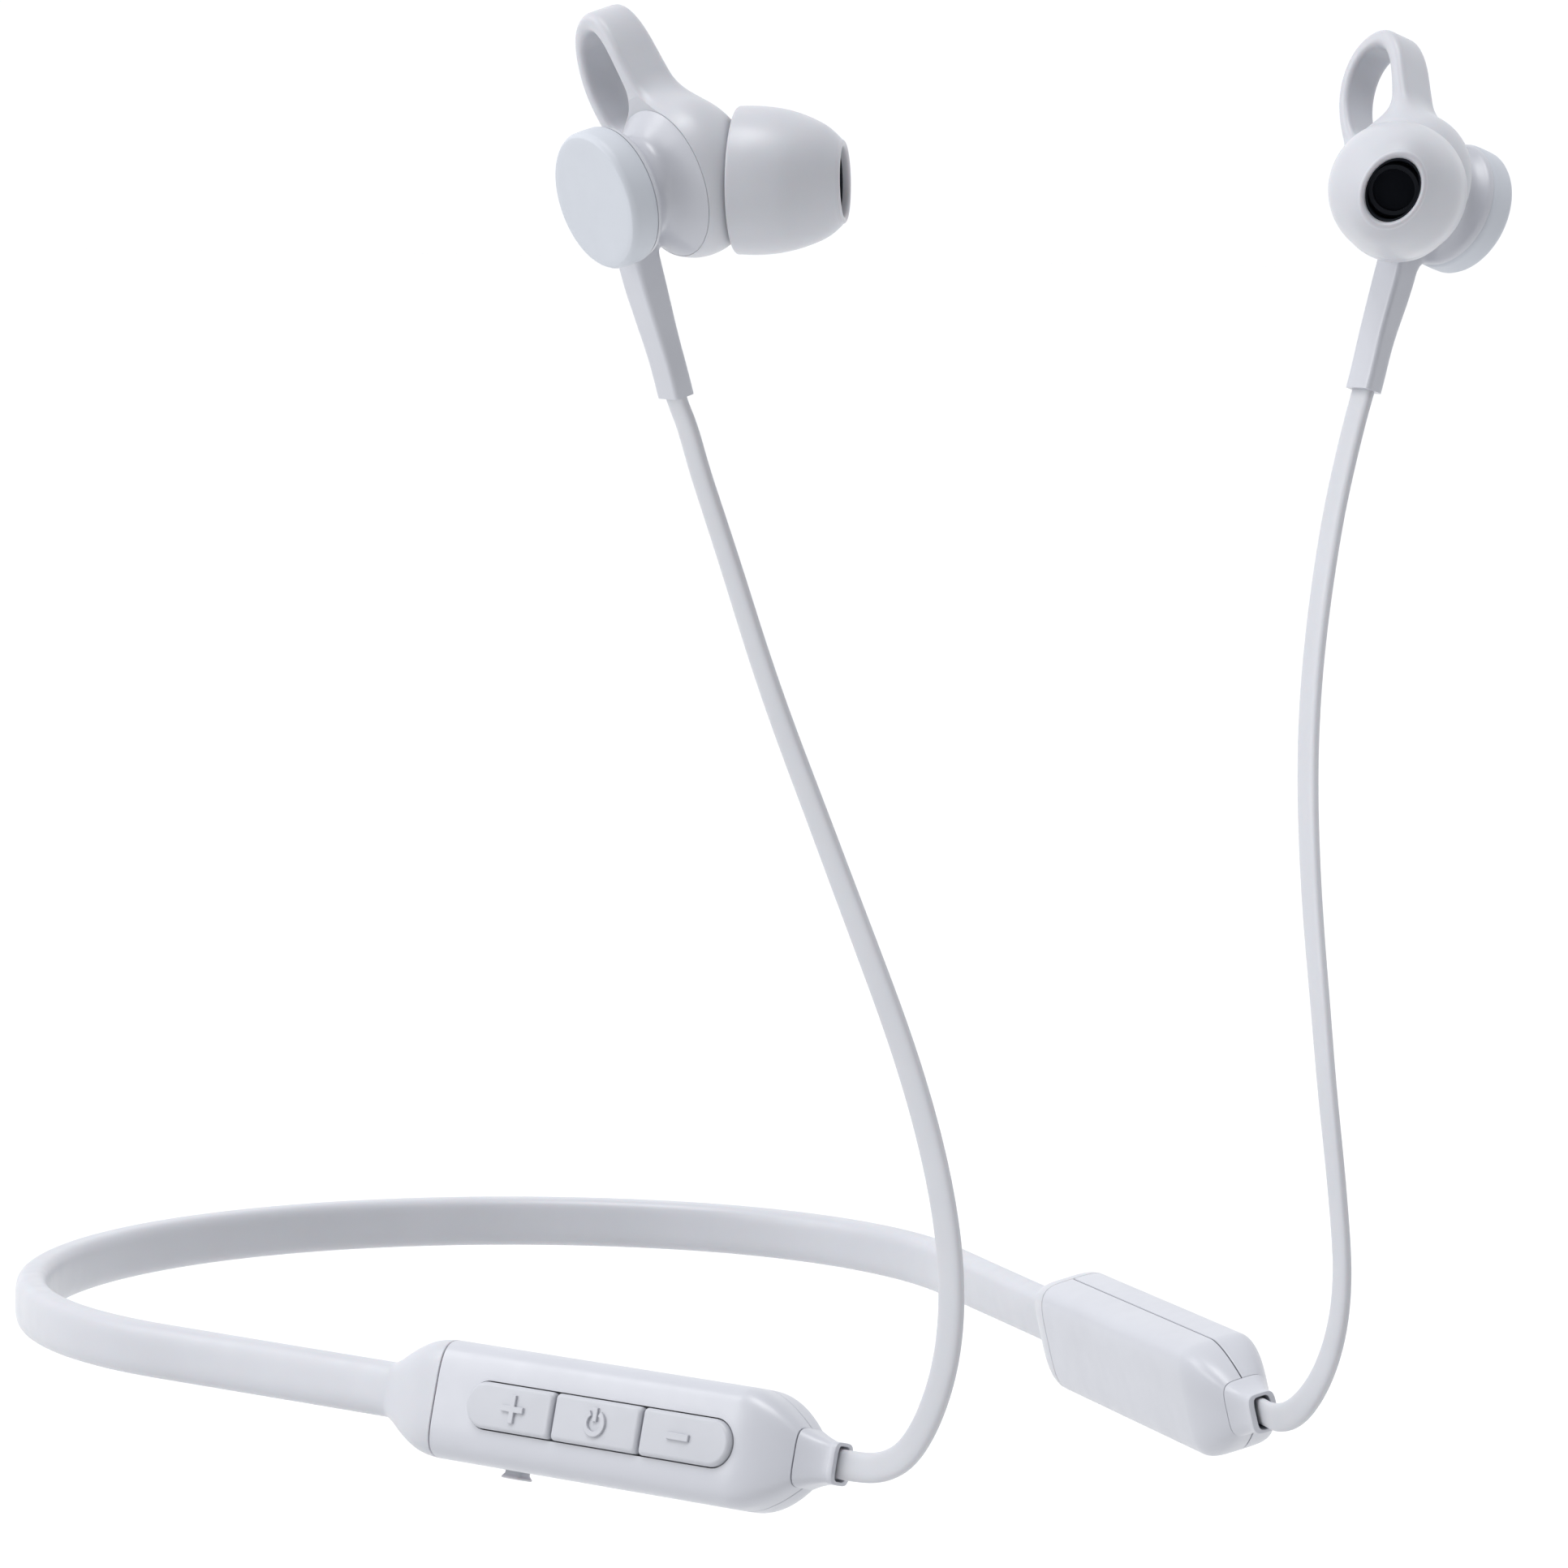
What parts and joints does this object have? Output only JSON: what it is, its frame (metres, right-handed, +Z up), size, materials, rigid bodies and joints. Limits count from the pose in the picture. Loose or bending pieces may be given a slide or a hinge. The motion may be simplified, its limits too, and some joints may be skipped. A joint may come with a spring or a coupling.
{
  "type": "neckband earphones",
  "caption": "Flexible neckband with a button pod and a battery pod at its ends, and winged in-ear buds with magnetic caps on flat cables, standing as worn.",
  "frame": {"origin": "on the inner face of the band, at the middle of the nape, where the band rests on the neck", "axes": "+X to the wearer's left, +Y to the wearer's back, +Z up; the band lies in the XY plane and the buds stand above it as worn"},
  "size_m": [0.1066, 0.1595, 0.1403],
  "materials": {
    "satin_silicone": "satin lavender-grey moulded silicone",
    "satin_plastic": "satin lavender-grey moulded plastic",
    "key_plastic": "satin lavender-grey plastic with raised symbols",
    "cap_plastic": "fine matt, slightly blue grey",
    "cable_jacket": "satin elastomer jacket",
    "spring_steel": "drawn spring wire",
    "plated_magnet": "nickel-plated",
    "stamped_steel": "plain stamped sheet",
    "dark_mesh": "black fine mesh",
    "circuit_laminate": "green solder mask",
    "cell_foil": "laminated foil pouch"
  },
  "bodies": {
    "neckband": {"neckband_centre": "satin_silicone", "memory_wire_centre": "spring_steel"},
    "right_arm": {"right_arm_sleeve": "satin_silicone", "right_memory_wire": "spring_steel", "control_pod_outer_shell": "satin_plastic", "control_pod_inner_shell": "satin_plastic", "control_pod_collar": "satin_plastic", "key_mat": "satin_silicone", "volume_up_switch": "stamped_steel", "power_switch": "stamped_steel", "volume_down_switch": "stamped_steel", "circuit_board": "circuit_laminate", "charging_socket": "stamped_steel", "microphone": "stamped_steel", "right_cable": "cable_jacket"},
    "left_arm": {"left_arm_sleeve": "satin_silicone", "left_memory_wire": "spring_steel", "battery_pod_outer_shell": "satin_plastic", "battery_pod_inner_shell": "satin_plastic", "battery_pod_collar": "satin_plastic", "battery_cell": "cell_foil", "protection_board": "circuit_laminate", "left_cable": "cable_jacket"},
    "volume_up_button": {"volume_up_key": "key_plastic"},
    "power_button": {"power_key": "key_plastic"},
    "volume_down_button": {"volume_down_key": "key_plastic"},
    "charging_cover": {"port_cover": "satin_silicone"},
    "right_bud": {"right_cap": "cap_plastic", "right_magnet": "plated_magnet", "right_rear_housing": "satin_plastic", "right_front_housing": "satin_plastic", "right_driver": "stamped_steel", "right_nozzle_mesh": "dark_mesh", "right_stem": "satin_silicone"},
    "right_wing": {"right_wing_sleeve": "satin_silicone"},
    "right_tip": {"right_ear_tip": "satin_silicone"},
    "left_bud": {"left_cap": "cap_plastic", "left_magnet": "plated_magnet", "left_rear_housing": "satin_plastic", "left_front_housing": "satin_plastic", "left_driver": "stamped_steel", "left_nozzle_mesh": "dark_mesh", "left_stem": "satin_silicone"},
    "left_wing": {"left_wing_sleeve": "satin_silicone"},
    "left_tip": {"left_ear_tip": "satin_silicone"}
  },
  "joints": [
    {"name": "right_arm_flex", "type": "hinge", "parent": "neckband", "child": "right_arm", "pos_m": [-0.04148, -0.01831, 0], "axis": [0, 0, -1], "range_deg": [-8, 20], "stiffness_Nm_per_rad": 0.35},
    {"name": "left_arm_flex", "type": "hinge", "parent": "neckband", "child": "left_arm", "pos_m": [0.04148, -0.01831, 0], "axis": [0, 0, 1], "range_deg": [-8, 20], "stiffness_Nm_per_rad": 0.35},
    {"name": "volume_up_press", "type": "slide", "parent": "right_arm", "child": "volume_up_button", "axis": [0.9318, 0.2707, -0.2419], "range_m": [0, 0.0003], "stiffness_N_per_m": 2000},
    {"name": "power_press", "type": "slide", "parent": "right_arm", "child": "power_button", "axis": [0.9318, 0.2707, -0.2419], "range_m": [0, 0.0003], "stiffness_N_per_m": 2000},
    {"name": "volume_down_press", "type": "slide", "parent": "right_arm", "child": "volume_down_button", "axis": [0.9318, 0.2707, -0.2419], "range_m": [0, 0.0003], "stiffness_N_per_m": 2000},
    {"name": "charging_cover_open", "type": "hinge", "parent": "right_arm", "child": "charging_cover", "pos_m": [-0.03387, -0.11097, -0.00588], "axis": [-0.9318, -0.2707, 0.2419], "range_deg": [0, 95]},
    {"name": "right_bud_twist", "type": "hinge", "parent": "right_arm", "child": "right_bud", "pos_m": [-0.04061, -0.13389, 0.09837], "axis": [0.3003, 0, -0.9539], "range_deg": [-45, 45], "stiffness_Nm_per_rad": 0.004},
    {"name": "right_wing_turn", "type": "hinge", "parent": "right_bud", "child": "right_wing", "pos_m": [-0.04204, -0.13725, 0.11784], "axis": [-0.9532, 0.036, -0.3001], "range_deg": [-10, 10]},
    {"name": "right_tip_pull", "type": "slide", "parent": "right_bud", "child": "right_tip", "axis": [0.6953, -0.7187, 0.0021], "range_m": [0, 0.008]},
    {"name": "left_bud_twist", "type": "hinge", "parent": "left_arm", "child": "left_bud", "pos_m": [0.04061, -0.13389, 0.09837], "axis": [0.3003, 0, 0.9539], "range_deg": [-45, 45], "stiffness_Nm_per_rad": 0.004},
    {"name": "left_wing_turn", "type": "hinge", "parent": "left_bud", "child": "left_wing", "pos_m": [0.04204, -0.13725, 0.11784], "axis": [-0.9532, -0.036, 0.3001], "range_deg": [-10, 10]},
    {"name": "left_tip_pull", "type": "slide", "parent": "left_bud", "child": "left_tip", "axis": [-0.6953, -0.7187, 0.0021], "range_m": [0, 0.008]}
  ]
}
